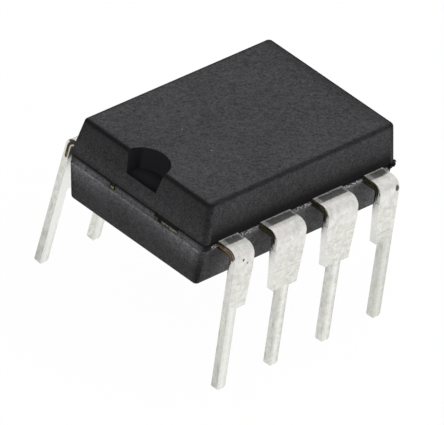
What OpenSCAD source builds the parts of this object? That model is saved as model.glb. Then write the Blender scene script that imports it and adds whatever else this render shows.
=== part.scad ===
// Eight-lead dual in-line package: a moulded epoxy body round a stamped
// leadframe, with the die, its bonding layer and its gold wires inside.
// The part stands on its lead tips, with the origin midway between them.
// X runs along the body, with the index notch at -X; leads 1 to 4 are on the
// -Y side from -X to +X, and leads 5 to 8 come back along the +Y side.

/* [Body] */
// Length of the upper half at its rim
body_l = 9.3; // [9.0:0.1:10.2]
// Width of the upper half at its rim
body_w = 6.5; // [6.1:0.1:7.1]
// Height of the upper half above the leadframe
upper_h = 1.48; // [1.3:0.05:1.9]
// Draft of the upper half's ends, in degrees
upper_end_draft = 4.9; // [3:0.1:10]
// Draft of the upper half's long sides, in degrees
upper_side_draft = 9.2; // [5:0.1:12]
// How far the lower half stands out beyond the upper one at each end
end_lip = 0.05; // [0:0.01:0.08]
// How far the lower half is set in under the upper one on each long side
side_setback = 0.08; // [0:0.01:0.1]
// Height of the lower half below its rim
lower_h = 1.5; // [1.3:0.05:1.9]
// Draft of the lower half's ends, in degrees
lower_end_draft = 8.6; // [5:0.1:12]
// Draft of the lower half's long sides, in degrees
lower_side_draft = 5.4; // [3:0.1:10]
// Radius of the body's rounded edges
edge_r = 0.14; // [0.08:0.02:0.2]
// Height of the straight land at each half's rim
rim_land = 0.01; // [0.01:0.01:0.05]
// How far the band between the halves is set back from the upper rim
band_setback = 0.03; // [0.02:0.01:0.06]
// How far the band reaches below the leadframe
band_drop = 0.04; // [0.02:0.02:0.1]
// Diameter of the shallow ejector marks in the underside
mark_d = 1.2; // [0.8:0.1:1.6]
// Depth of the ejector marks
mark_depth = 0.05; // [0.02:0.01:0.1]
// Distance of the ejector marks from the body's middle
mark_x = 2.7; // [1.5:0.1:3.2]

/* [Index notch] */
// Radius of the notch's half-round back
notch_r = 0.85; // [0.7:0.01:1.0]
// Width between the notch's cheeks where they open in the top face
notch_w = 1.69; // [1.3:0.01:1.7]
// Draft of the notch's cheeks, in degrees
notch_draft = 10.3; // [5:0.1:15]
// Depth of the notch below the top face
notch_depth = 0.85; // [0.6:0.01:1.1]
// Distance of the half-round's centre outside the top face's end
notch_offset = 0.02; // [0:0.01:0.1]

/* [Leads] */
// Distance between neighbouring leads
pitch = 2.54; // [2.3:0.02:2.6]
// Number of leads on each side
leads_per_side = 4; // [4:1:4]
// Thickness of the leadframe
lead_t = 0.28; // [0.2:0.02:0.36]
// Width of a lead's pin below the shoulder
pin_w = 0.41; // [0.36:0.01:0.56]
// Width of a middle lead's shoulder at the bend
shoulder_w = 1.53; // [1.3:0.01:1.7]
// Width of a middle lead's shoulder at its foot
shoulder_foot_w = 1.16; // [1.0:0.01:1.3]
// Width of a corner lead's half shoulder at the bend
half_shoulder_w = 0.98; // [0.8:0.01:1.1]
// Width of a corner lead's half shoulder at its foot
half_shoulder_foot_w = 0.82; // [0.7:0.01:0.9]
// Chamfer on the shoulder's lower corners
shoulder_chamfer = 0.03; // [0.01:0.01:0.1]
// Depth of the recess left where the tie between two leads was cut away
tie_cut = 0.05; // [0.02:0.01:0.08]
// Length of that recess below the bend
tie_cut_l = 0.3; // [0.1:0.05:0.6]
// Reach of the front row's bent leads beyond the body's rim
lead_reach = 0.88; // [0.8:0.02:1.1]
// Inside radius of the lead's bend
bend_r = 0.22; // [0.15:0.01:0.3]
// Outward splay of the front row's pins, in degrees
front_splay = 3.3; // [0:0.1:10]
// Outward splay of the back row's pins, in degrees
back_splay = 4.8; // [0:0.1:10]
// Gap between the body's underside and the shoulders' feet
standoff = 0.51; // [0.38:0.02:0.8]
// Length of the pins below the shoulders' feet
pin_l = 3.15; // [2.9:0.02:3.8]
// Length of the taper at a pin's tip
tip_l = 0.08; // [0.04:0.01:0.3]
// Width that the taper takes off each side of a tip
tip_taper = 0.06; // [0.02:0.01:0.12]

/* [Leadframe inside the body] */
// Length of the die pad
pad_l = 3.6; // [3.2:0.1:4]
// Width of the die pad
pad_w = 2.6; // [2.4:0.1:2.8]
// Depth of the die pad below the leads
pad_drop = 0.2; // [0.1:0.05:0.3]
// Length over which a tie bar slopes down to the pad
ramp_l = 0.35; // [0.2:0.05:0.6]
// Width of the wide tie bar
tie_w = 1.1; // [0.8:0.05:1.3]
// Gap between the wide tie bar and the corner lead's arm beside it
tie_gap = 0.45; // [0.3:0.05:0.6]
// Distance of the wide tie bar from the centre line where it meets the pad
tie_root_y = 0.7; // [0.6:0.05:0.75]
// Length over which the wide tie bar shifts sideways
jog_l = 0.8; // [0.5:0.1:1]
// Width of the narrow tie bar
narrow_tie_w = 0.24; // [0.16:0.02:0.3]
// Distance of the narrow tie bar from the centre line
narrow_tie_y = 1.15; // [1:0.05:1.15]
// How far the cut tie bars stand out of the band
tie_proud = 0.02; // [0:0.01:0.04]
// Gap between the die pad and the inner ends of the leads
finger_gap = 0.3; // [0.2:0.02:0.4]
// Width of a middle lead's finger inside the body
finger_w = 0.84; // [0.7:0.02:1]
// Width of a corner lead's arm inside the body
arm_w = 0.55; // [0.4:0.05:0.6]
// Gap between a corner lead's arm and the next lead's finger
arm_gap = 0.34; // [0.2:0.02:0.5]
// Width of the nose at the end of that arm
nose_w = 0.45; // [0.3:0.05:0.5]
// Gap between the die pad's side and that nose
nose_gap = 0.6; // [0.5:0.05:0.8]
// Depth of the lead's shoulder inside the body
shoulder_grip = 0.3; // [0.2:0.05:0.4]
// Depth of the locking notches in the leads
lock_depth = 0.1; // [0.05:0.01:0.14]
// Length of the locking notches
lock_l = 0.2; // [0.1:0.02:0.3]

/* [Die and wires] */
// Length of the silicon die
die_l = 1.9; // [1.4:0.1:2.4]
// Width of the silicon die
die_w = 1.5; // [1.2:0.1:1.7]
// Thickness of the silicon die
die_t = 0.28; // [0.2:0.02:0.36]
// Thickness of the bonding layer under the die
attach_t = 0.03; // [0.02:0.005:0.05]
// Margin of the bonding layer round the die
attach_margin = 0.06; // [0.02:0.02:0.12]
// Distance of the bond pads from the die's edges
bond_inset = 0.15; // [0.1:0.01:0.25]
// Diameter of the gold wire
wire_d = 0.034; // [0.03:0.002:0.05]
// Diameter of the ball that starts a wire
ball_d = 0.09; // [0.08:0.01:0.12]
// Height of that ball
ball_t = 0.03; // [0.02:0.005:0.04]
// Height of the wire's loop over the line between its ends
loop_h = 0.32; // [0.2:0.02:0.4]
// Distance of the stitch from the end of a finger
stitch_inset = 0.15; // [0.1:0.05:0.2]
// Thickness of the flattened stitch
stitch_t = 0.02; // [0.015:0.005:0.03]

/* [Hidden] */
$fn = 48;
hull_fn = 32;

pin_count = 2 * leads_per_side;

// Heights are worked out from the middle plane of the leadframe,
// which is at frame_z above the surface that the tips stand on.
rim_z = lead_t / 2;
top_z = rim_z + upper_h;
ledge_z = -lead_t / 2 - band_drop;
bottom_z = ledge_z - lower_h;
foot_z = bottom_z - standoff;
tip_z = foot_z - pin_l;
frame_z = -tip_z;

top_l = body_l - 2 * upper_h * tan(upper_end_draft);
lower_l = body_l + 2 * end_lip;
lower_w = body_w - 2 * side_setback;
band_l = body_l - 2 * band_setback;
band_w = body_w - 2 * band_setback;

bend_outer_r = bend_r + lead_t;
front_bend_y = body_w / 2 + lead_reach - bend_outer_r;
bend_z = -lead_t / 2 - bend_r;

pad_top_z = -pad_drop + lead_t / 2;
die_z = pad_top_z + attach_t;
die_top_z = die_z + die_t;
finger_end_y = pad_w / 2 + finger_gap;
arm_outer_y = body_w / 2 - shoulder_grip;
arm_inner_y = arm_outer_y - arm_w;
tie_y = arm_inner_y - tie_gap - tie_w / 2;
arm_end = pitch - finger_w / 2 - arm_gap;

epoxy_colour = [0.27, 0.27, 0.28];
tin_colour = [0.80, 0.80, 0.77];
copper_colour = [0.72, 0.45, 0.28];
silver_colour = [0.70, 0.70, 0.68];
silicon_colour = [0.36, 0.38, 0.44];
gold_colour = [0.90, 0.72, 0.30];

// Places of the leads: 1 to 4 on the front side, then back along the rear
function is_front(i) = i <= leads_per_side;
function place_along(i) = is_front(i) ? i - 1 : pin_count - i;
function lead_x(i) = (place_along(i) - (leads_per_side - 1) / 2) * pitch;
function is_corner(i) = place_along(i) == 0 || place_along(i) == leads_per_side - 1;

// Which way the middle of the body lies, seen along the lead from inside
function inner_side(i) = is_front(i) ? sign(lead_x(i)) : -sign(lead_x(i));

// Splay of a lead's pin, and where along y its bend starts: the back row splays
// more and bends nearer the body, so that both rows' tips are equally far out
function splay(i) = is_front(i) ? front_splay : back_splay;
function bend_y(i) = front_bend_y + tip_out(front_splay) - tip_out(splay(i));
function tip_out(splay) = bend_outer_r * cos(splay) + along_pin(tip_z, splay) * sin(splay);

// Distance along a splayed pin's inner face from the bend to a height
function along_pin(z, splay) = (bend_z + bend_r * sin(splay) - z) / cos(splay);

// How far a ball of edge_r lies inside a drafted face at the height of the flat
// face that they both touch
function edge_inset(draft) = edge_r * (1 - sin(draft)) / cos(draft);

// Half of the body as a drafted block whose edges are rounded, standing on
// its rim and growing upwards to its flat face
module drafted_half(rim_l, rim_w, end_draft, side_draft, h) {
    ball_x = rim_l / 2 - h * tan(end_draft) - edge_inset(end_draft);
    ball_y = rim_w / 2 - h * tan(side_draft) - edge_inset(side_draft);
    hull()
        for (sx = [-1, 1], sy = [-1, 1]) {
            translate([sx * (rim_l / 2 - edge_r), sy * (rim_w / 2 - edge_r), 0])
                cylinder(r = edge_r, h = rim_land, $fn = hull_fn);
            translate([sx * ball_x, sy * ball_y, h - edge_r])
                sphere(r = edge_r, $fn = hull_fn);
        }
}

// The band of resin that fills the leadframe's thickness between the halves
module band() {
    corner_x = band_l / 2 - edge_r;
    corner_y = band_w / 2 - edge_r;
    translate([0, 0, ledge_z]) {
        linear_extrude(rim_z - ledge_z) {
            square([band_l, 2 * corner_y], center = true);
            square([2 * corner_x, band_w], center = true);
            for (sx = [-1, 1], sy = [-1, 1])
                translate([sx * corner_x, sy * corner_y])
                    circle(r = edge_r);
        }
    }
}

// The index notch: a half-round back between two cheeks that are drafted, so
// that the mould lets go of them
module index_notch() {
    side = [[notch_w / 2 - spread(notch_depth), 0], [notch_w / 2 + spread(notch_depth), 2 * notch_depth]];
    translate([-top_l / 2 - notch_offset, 0, top_z - notch_depth])
        intersection() {
            cylinder(r = notch_r, h = 2 * notch_depth);
            rotate([90, 0, 90])
                linear_extrude(2 * notch_r, center = true)
                    polygon(concat(side, mirrored(side)));
        }
}

// How far one cheek leans outwards over a height
function spread(h) = h * tan(notch_draft);

module ejector_marks() {
    for (sx = [-1, 1])
        translate([sx * mark_x, 0, bottom_z - mark_depth])
            cylinder(d = mark_d, h = 2 * mark_depth);
}

module moulded_outline() {
    difference() {
        union() {
            translate([0, 0, rim_z])
                drafted_half(body_l, body_w, upper_end_draft, upper_side_draft, upper_h);
            band();
            translate([0, 0, ledge_z])
                mirror([0, 0, 1])
                    drafted_half(lower_l, lower_w, lower_end_draft, lower_side_draft, lower_h);
        }
        index_notch();
        ejector_marks();
    }
}

// Outline of a pin's right side, from the bend to the tip: x across the pin
// and y along it
function plain_side(splay) = let (half = pin_w / 2, end = along_pin(tip_z, splay))
    [[half, 0], [half, end - tip_l], [half - tip_taper, end]];

// The same with a shoulder, whose half widths are w at the bend and w_foot at
// its foot, and with the recess of the tie that was cut away
function shouldered_side(w, w_foot, splay) = let (
        half = pin_w / 2,
        foot = along_pin(foot_z, splay),
        end = along_pin(tip_z, splay),
        w_below = w + (w_foot - w) * tie_cut_l / foot)
    [[w - tie_cut, 0], [w - tie_cut, tie_cut_l], [w_below, tie_cut_l],
     [w_foot, foot - shoulder_chamfer], [w_foot - shoulder_chamfer, foot], [half, foot],
     [half, end - tip_l], [half - tip_taper, end]];

function mirrored(points) = [for (i = [len(points) - 1:-1:0]) [-points[i][0], points[i][1]]];

// Outline of a middle lead inside the body and out to the bend at out_y
module middle_finger_outline(out_y) {
    half = shoulder_w / 2 - tie_cut;
    finger = finger_w / 2;
    lock_y = (arm_outer_y + finger_end_y) / 2;
    waist = finger - lock_depth;
    side = [
        [half, out_y], [half, arm_outer_y], [finger, arm_outer_y],
        [finger, lock_y + lock_l / 2], [waist, lock_y + lock_l / 2],
        [waist, lock_y - lock_l / 2], [finger, lock_y - lock_l / 2],
        [finger, finger_end_y]];
    polygon(concat(side, mirrored(side)));
}

// Outline of a corner lead: a stem at the body's side, an arm along the body
// and a nose at its end that turns towards the die pad
module corner_finger_outline(s, out_y) {
    outer = pin_w / 2;
    inner = half_shoulder_w - outer - tie_cut;
    nose_y = pad_w / 2 + nose_gap;
    lock_y = arm_outer_y - arm_w / 2;
    mirror([s < 0 ? 1 : 0, 0])
        polygon([
            [-outer, out_y], [inner, out_y], [inner, arm_outer_y], [arm_end, arm_outer_y],
            [arm_end, nose_y], [arm_end - nose_w, nose_y], [arm_end - nose_w, arm_inner_y],
            [-outer, arm_inner_y],
            [-outer, lock_y - lock_l / 2], [-outer + lock_depth, lock_y - lock_l / 2],
            [-outer + lock_depth, lock_y + lock_l / 2], [-outer, lock_y + lock_l / 2]]);
}

// One lead, with its thickness centred on z = 0 and its pin towards +y; s is
// the side of a corner lead that faces the body's middle, and out_y is where
// the bend starts
module formed_lead(corner, s, out_y, splay) {
    half = pin_w / 2;
    wide = corner ? half_shoulder_w - half : shoulder_w / 2;
    wide_foot = corner ? half_shoulder_foot_w - half : shoulder_foot_w / 2;
    right = corner && s < 0 ? plain_side(splay) : shouldered_side(wide, wide_foot, splay);
    left = corner && s > 0 ? plain_side(splay) : shouldered_side(wide, wide_foot, splay);

    translate([0, 0, -lead_t / 2])
        linear_extrude(lead_t)
            if (corner) corner_finger_outline(s, out_y);
            else middle_finger_outline(out_y);
    translate([-left[0][0], out_y, bend_z])
        rotate([90, 0, 90])
            rotate([0, 0, splay])
                rotate_extrude(angle = 90 - splay)
                    translate([bend_r, 0])
                        square([lead_t, left[0][0] + right[0][0]]);
    translate([0, out_y, bend_z])
        rotate([splay, 0, 0])
            translate([0, bend_r, 0])
                rotate([-90, 0, 0])
                    linear_extrude(lead_t)
                        polygon(concat(right, mirrored(left)));
}

module placed_lead(i) {
    translate([lead_x(i), 0, 0])
        rotate([0, 0, is_front(i) ? 180 : 0])
            formed_lead(is_corner(i), inner_side(i), bend_y(i), splay(i));
}

// A tie bar from inside the die pad to the body's +X end: the side profile is
// a ramp up from the pad and a flat run, and the plan shifts from root_y to
// end_y on its way to the cut end
module tie_bar(w, root_y, end_y) {
    root_x = pad_l / 2 - lead_t;
    ramp_x = pad_l / 2 + ramp_l;
    jog_x = ramp_x + jog_l;
    end_x = band_l / 2 + tie_proud;
    intersection() {
        rotate([90, 0, 0])
            linear_extrude(body_w, center = true)
                polygon([
                    [root_x, pad_top_z - lead_t], [pad_l / 2, pad_top_z - lead_t], [ramp_x, -lead_t / 2],
                    [end_x, -lead_t / 2], [end_x, lead_t / 2],
                    [ramp_x, lead_t / 2], [pad_l / 2, pad_top_z], [root_x, pad_top_z]]);
        translate([0, 0, bottom_z])
            linear_extrude(top_z - bottom_z)
                polygon([
                    [root_x, root_y - w / 2], [ramp_x, root_y - w / 2], [jog_x, end_y - w / 2],
                    [end_x, end_y - w / 2], [end_x, end_y + w / 2],
                    [jog_x, end_y + w / 2], [ramp_x, root_y + w / 2], [root_x, root_y + w / 2]]);
    }
}

module pad_with_ties() {
    translate([-pad_l / 2, -pad_w / 2, pad_top_z - lead_t])
        cube([pad_l, pad_w, lead_t]);
    for (m = [0, 1])
        mirror([m, 0, 0]) {
            tie_bar(tie_w, -tie_root_y, -tie_y);
            tie_bar(narrow_tie_w, narrow_tie_y, narrow_tie_y);
        }
}

module attach_layer() {
    l = die_l + 2 * attach_margin;
    w = die_w + 2 * attach_margin;
    translate([-l / 2, -w / 2, pad_top_z])
        cube([l, w, attach_t]);
}

module die_block() {
    translate([-die_l / 2, -die_w / 2, die_z])
        cube([die_l, die_w, die_t]);
}

// Where a wire starts on the die, and where it is stitched to its lead
function front_sign(i) = is_front(i) ? -1 : 1;
function bond_spread(i) = 2 * place_along(i) / (leads_per_side - 1) - 1;
function bond_start(i) = [
    bond_spread(i) * (die_l / 2 - bond_inset),
    front_sign(i) * (die_w / 2 - bond_inset)];
function bond_end(i) = is_corner(i)
    ? [lead_x(i) - sign(lead_x(i)) * (arm_end - nose_w / 2),
       front_sign(i) * (pad_w / 2 + nose_gap + stitch_inset)]
    : [lead_x(i), front_sign(i) * (finger_end_y + stitch_inset)];

// A ball on the die, one arc of wire, and a flattened stitch on the lead; the
// arc's ends are cut level with the faces that they are bonded to
module wire(i) {
    span = bond_end(i) - bond_start(i);
    reach = norm(span);
    stitch_z = lead_t / 2;
    fall = die_top_z - stitch_z;
    chord = norm([reach, fall]);
    arc_r = (pow(chord / 2, 2) + pow(loop_h, 2)) / (2 * loop_h);
    half_angle = asin(chord / 2 / arc_r);
    translate([bond_start(i)[0], bond_start(i)[1], 0])
        rotate([0, 0, atan2(span[1], span[0])])
            difference() {
                union() {
                    translate([0, 0, die_top_z])
                        cylinder(d = ball_d, h = ball_t);
                    translate([0, 0, die_top_z])
                        rotate([0, atan2(fall, reach), 0])
                            translate([chord / 2, 0, loop_h - arc_r])
                                rotate([90, 0, 0])
                                    rotate([0, 0, 90 - half_angle])
                                        rotate_extrude(angle = 2 * half_angle)
                                            translate([arc_r, 0])
                                                circle(d = wire_d);
                    translate([reach, 0, stitch_z])
                        cylinder(d = ball_d, h = stitch_t);
                }
                translate([-ball_d, -ball_d, die_top_z - ball_d])
                    cube([2 * ball_d, 2 * ball_d, ball_d]);
                translate([reach - 2 * ball_d, -ball_d, stitch_z - ball_d])
                    cube([4 * ball_d, 2 * ball_d, ball_d]);
            }
}

module package_body() {
    color(epoxy_colour)
        translate([0, 0, frame_z])
            difference() {
                moulded_outline();
                for (i = [1:pin_count]) {
                    placed_lead(i);
                    wire(i);
                }
                pad_with_ties();
                attach_layer();
                die_block();
            }
}

module lead(i) {
    color(tin_colour)
        translate([0, 0, frame_z])
            placed_lead(i);
}

module die_pad() {
    color(copper_colour)
        translate([0, 0, frame_z])
            pad_with_ties();
}

module die_attach() {
    color(silver_colour)
        translate([0, 0, frame_z])
            attach_layer();
}

module silicon_die() {
    color(silicon_colour)
        translate([0, 0, frame_z])
            die_block();
}

module bond_wire(i) {
    color(gold_colour)
        translate([0, 0, frame_z])
            wire(i);
}

package_body();
for (i = [1:pin_count])
    lead(i);
die_pad();
die_attach();
silicon_die();
for (i = [1:pin_count])
    bond_wire(i);
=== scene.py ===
# %% [markdown]
# A dual in-line integrated circuit, dressed for its portrait.
#
# The part is a block of dark moulding compound round a stamped leadframe. Eight
# tinned leads leave its long sides, turn down and end in narrow pins. The solids
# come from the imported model, which is loaded first and never moved. This lesson
# then remodels what shows, piece by piece, and gives each piece its finish.

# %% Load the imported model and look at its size
import math

import bmesh
import bpy
from mathutils import Matrix, Vector


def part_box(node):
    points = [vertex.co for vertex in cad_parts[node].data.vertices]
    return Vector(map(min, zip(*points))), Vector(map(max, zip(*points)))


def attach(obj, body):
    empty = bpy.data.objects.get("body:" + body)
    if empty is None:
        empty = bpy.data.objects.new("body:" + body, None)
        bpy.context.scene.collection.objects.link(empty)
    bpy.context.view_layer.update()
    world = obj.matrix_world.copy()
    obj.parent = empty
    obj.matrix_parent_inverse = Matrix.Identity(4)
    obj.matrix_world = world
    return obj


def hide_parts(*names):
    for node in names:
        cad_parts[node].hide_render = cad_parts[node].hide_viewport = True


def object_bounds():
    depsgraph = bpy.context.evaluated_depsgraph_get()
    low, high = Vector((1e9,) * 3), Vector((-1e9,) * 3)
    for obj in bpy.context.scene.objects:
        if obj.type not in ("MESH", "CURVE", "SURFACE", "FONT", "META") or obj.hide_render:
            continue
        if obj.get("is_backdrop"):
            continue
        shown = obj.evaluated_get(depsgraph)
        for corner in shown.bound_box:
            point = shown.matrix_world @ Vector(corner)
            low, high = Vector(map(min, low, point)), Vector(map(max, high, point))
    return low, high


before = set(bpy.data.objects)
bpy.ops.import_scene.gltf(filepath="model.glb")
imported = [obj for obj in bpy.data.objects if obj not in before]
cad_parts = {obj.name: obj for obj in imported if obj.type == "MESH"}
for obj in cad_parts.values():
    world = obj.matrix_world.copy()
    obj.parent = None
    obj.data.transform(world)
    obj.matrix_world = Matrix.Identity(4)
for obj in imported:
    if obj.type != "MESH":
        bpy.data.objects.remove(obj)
cad_low, cad_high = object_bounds()
MM = 0.001
TINY = 0.002 * MM
bpy.ops.object.select_all(action="DESELECT")


def in_mm(*lengths):
    """Lengths in rounded millimetres, for printing."""
    return [round(length / MM, 3) for length in lengths]


print("solids loaded:", len(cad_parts), "box in mm:", in_mm(*(cad_high - cad_low)))

# %% [markdown]
# The sizes are written once. What the solids can tell is read from their boxes,
# such as where each lead stands and how high the body sits on its pins. What the
# boxes can't tell, such as a draft or an edge's radius, is a named value here. A
# draft is a pair of angles, that of the ends and that of the sides.

# %% Sizes of the body and its leads
body_low, body_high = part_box("package_body")
lead_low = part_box("lead_2")[0]
LEAD_COUNT = 8
LEAD_T = 0.28 * MM
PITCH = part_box("lead_3")[0].x - lead_low.x
PIN_W = 0.41 * MM
BAND_DROP = 0.04 * MM
LOWER_H = 1.5 * MM
END_LIP = 0.05 * MM
SIDE_SETBACK = 0.08 * MM
BAND_SETBACK = 0.03 * MM
EDGE_R = 0.17 * MM
UPPER_DRAFT = (math.radians(4.9), math.radians(9.2))
LOWER_DRAFT = (math.radians(8.6), math.radians(5.4))

TOP_Z = body_high.z
BOTTOM_Z = body_low.z
LEDGE_Z = BOTTOM_Z + LOWER_H
FRAME_Z = LEDGE_Z + BAND_DROP + LEAD_T / 2
RIM_Z = FRAME_Z + LEAD_T / 2
BODY_L = body_high.x - body_low.x - 2 * END_LIP
BODY_W = body_high.y - body_low.y
print("leadframe's height, body's length and width in mm:", in_mm(FRAME_Z, BODY_L, BODY_W))

# %% [markdown]
# The camera comes first, so that every later look is in the photograph's
# own view. It is a long lens from the notch end, above the front row of leads,
# and it leans a little, because the photograph was taken with a tilted frame. It
# could be turned by hand until it fits, but angles, a distance and an aim that are
# written down can be corrected one by one.

# %% Camera at the photograph's angle
PICTURE_W = 444
SENSOR = 36
FOCAL_PIXELS = 9991.7
NEAREST = 0.01
FARTHEST = 10
CAMERA_AZIMUTH = math.radians(-51.831)
CAMERA_ELEVATION = math.radians(33.991)
CAMERA_ROLL = math.radians(11.309)
CAMERA_DISTANCE = 337.09 * MM
AIM = Vector((0, 0, FRAME_Z - 0.04 * MM))
AIM_RIGHT = -0.345 * MM
AIM_UP = -1.744 * MM


def camera_axes():
    """The camera's right, up and backward directions."""
    back = Vector((
        math.sin(CAMERA_AZIMUTH) * math.cos(CAMERA_ELEVATION),
        -math.cos(CAMERA_AZIMUTH) * math.cos(CAMERA_ELEVATION),
        math.sin(CAMERA_ELEVATION)))
    right = (-back).cross(Vector((0, 0, 1))).normalized()
    up = right.cross(-back)
    c, s = math.cos(CAMERA_ROLL), math.sin(CAMERA_ROLL)
    return c * right + s * up, c * up - s * right, back


def place_camera():
    right, up, back = camera_axes()
    spot = AIM + AIM_RIGHT * right + AIM_UP * up + CAMERA_DISTANCE * back
    bpy.ops.object.camera_add()
    camera = bpy.context.object
    camera.name = "camera"
    camera.matrix_world = Matrix((
        (right.x, up.x, back.x, spot.x),
        (right.y, up.y, back.y, spot.y),
        (right.z, up.z, back.z, spot.z),
        (0, 0, 0, 1)))
    camera.data.sensor_width = SENSOR
    camera.data.lens = FOCAL_PIXELS * SENSOR / PICTURE_W
    camera.data.clip_start = NEAREST
    camera.data.clip_end = FARTHEST
    bpy.context.scene.camera = camera
    return camera


camera = place_camera()
print("camera stands at", in_mm(*camera.location), "mm; its lens in mm:", round(camera.data.lens))

# %% [markdown]
# Finishes are written as maths on sockets. A small class wraps one output socket
# and lets Python's own operators add the Math nodes, so that a mask reads like a
# formula. Every other node comes from one method, `node`, which takes the type,
# the settings and the values or links of the sockets.

# %% Shader maths


class Sock:
    """One output socket in a node tree, with the operators of ordinary maths."""

    def __init__(self, tree, socket):
        self.tree = tree
        self.socket = socket

    def node(self, kind, settings=None, output=0, **sockets):
        """Adds a node and returns one of its outputs. Settings are set first."""
        made = self.tree.nodes.new(kind)
        for name, value in (settings or {}).items():
            if name == "stops":
                set_stops(made.color_ramp, value)
            else:
                setattr(made, name, value)
        for name, value in sockets.items():
            is_index = name.startswith("in") and name[2:].isdigit()
            target = made.inputs[int(name[2:]) if is_index else name.replace("_", " ")]
            if isinstance(value, Sock):
                self.tree.links.new(value.socket, target)
            else:
                target.default_value = value
        return Sock(self.tree, made.outputs[output])

    def math(self, operation, *values):
        named = {f"in{i}": v for i, v in enumerate(values)}
        return self.node("ShaderNodeMath", {"operation": operation}, **named)

    def __add__(self, other):
        return self.math("ADD", self, other)

    def __radd__(self, other):
        return self.math("ADD", other, self)

    def __sub__(self, other):
        return self.math("SUBTRACT", self, other)

    def __rsub__(self, other):
        return self.math("SUBTRACT", other, self)

    def __mul__(self, other):
        return self.math("MULTIPLY", self, other)

    def __truediv__(self, other):
        return self.math("DIVIDE", self, other)

    def __abs__(self):
        return self.math("ABSOLUTE", self)

    def least(self, other):
        return self.math("MINIMUM", self, other)

    def most(self, other):
        return self.math("MAXIMUM", self, other)

    def ramp(self, low, high):
        """0 below low, 1 above high and a smooth slope between; low may be the larger."""
        if low > high:
            return 1 - self.ramp(high, low)
        settings = {"interpolation_type": "SMOOTHSTEP"}
        return self.node("ShaderNodeMapRange", settings, Value=self, From_Min=low, From_Max=high)

    def parts(self):
        """The x, y and z of a vector."""
        made = self.tree.nodes.new("ShaderNodeSeparateXYZ")
        self.tree.links.new(self.socket, made.inputs[0])
        return [Sock(self.tree, o) for o in made.outputs]

    def vector_math(self, operation, other):
        return self.node("ShaderNodeVectorMath", {"operation": operation}, in0=self, in1=other)

    def stretched(self, x, y, z):
        """A vector with its parts multiplied, which makes a pattern finer that way."""
        return self.vector_math("MULTIPLY", (x, y, z))

    def noise(self, scale, detail=2.0, roughness=0.5):
        return self.node(
            "ShaderNodeTexNoise", Vector=self, Scale=scale, Detail=detail, Roughness=roughness)

    def between(self, first, second):
        """A colour between two, with this socket as the share of the second."""
        return self.node("ShaderNodeMix", {"data_type": "RGBA"}, 2, in0=self, in6=first, in7=second)


def set_stops(ramp, stops):
    """Stops are (place, colour), of which a new ramp already has two."""
    while len(ramp.elements) < len(stops):
        ramp.elements.new(0.5)
    for element, (place, colour) in zip(ramp.elements, stops):
        element.position = place
        element.color = colour


def grey(level, alpha=1.0):
    return (level, level, level, alpha)


def colour(red, green, blue):
    return (red, green, blue, 1.0)


def new_material(name):
    """A material with one Principled shader: (material, shader node, Object coordinates)."""
    material = bpy.data.materials.new(name)
    material.use_nodes = True
    tree = material.node_tree
    shader = tree.nodes["Principled BSDF"]
    place = Sock(tree, tree.nodes.new("ShaderNodeTexCoord").outputs["Object"])
    return material, shader, place


def wire(shader, **sockets):
    """Sets or links a shader's sockets; a word's underscore stands for a space."""
    for name, value in sockets.items():
        target = shader.inputs[name.replace("_", " ")]
        if isinstance(value, Sock):
            value.tree.links.new(value.socket, target)
        else:
            target.default_value = value


def layered(base, layers):
    """Lays colours over a base one after another; a layer is (mask, colour)."""
    for mask, tint in layers:
        base = mask.between(base, tint)
    return base


def relief(shader, height, strength, depth):
    """Gives a shader small bumps from a pattern of heights."""
    bump = height.node("ShaderNodeBump", Strength=strength, Distance=depth, Height=height)
    wire(shader, Normal=bump)


def mix_over(material, share, over):
    """Mixes another shader over a material's own by a mask."""
    tree = material.node_tree
    mixer = tree.nodes.new("ShaderNodeMixShader")
    tree.links.new(share.socket, mixer.inputs[0])
    tree.links.new(tree.nodes["Principled BSDF"].outputs[0], mixer.inputs[1])
    tree.links.new(over.outputs[0], mixer.inputs[2])
    tree.links.new(mixer.outputs[0], tree.nodes["Material Output"].inputs[0])


def mix_dark(material, share, tone):
    """Mixes a dark, dull shader without any gloss over a material's own."""
    dark = material.node_tree.nodes.new("ShaderNodeBsdfPrincipled")
    wire(dark, Base_Color=tone, Roughness=0.5, Specular_IOR_Level=0.0)
    mix_over(material, share, dark)


def dress(piece, material):
    """One material on the whole piece, whatever it wore before."""
    piece.data.materials.clear()
    piece.data.materials.append(material)


print("shader maths ready")

# %% [markdown]
# The stage is a plain pale floor. The camera and mirror-like surfaces see it as
# white paper, through Light Path, while every other ray gets the floor's own
# pale colour, so that it still bounces light and keeps a soft shadow. Brighter
# lamps could make it white too, but they would wash out the part.

# %% Floor and world
FLOOR_SIZE = 6.0
FLOOR_SHARE_OF_WHITE = 0.98
SKY_STRENGTH = 0.32
SKY_IN_GLOSS = 0.74


def seen_directly(tree):
    """Two masks: 1 for rays from the camera or through glass, and 1 for rays off a gloss."""
    path = tree.nodes.new("ShaderNodeLightPath")
    camera_ray = Sock(tree, path.outputs["Is Camera Ray"])
    clear_ray = Sock(tree, path.outputs["Is Transmission Ray"])
    return camera_ray.most(clear_ray), Sock(tree, path.outputs["Is Glossy Ray"])


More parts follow.
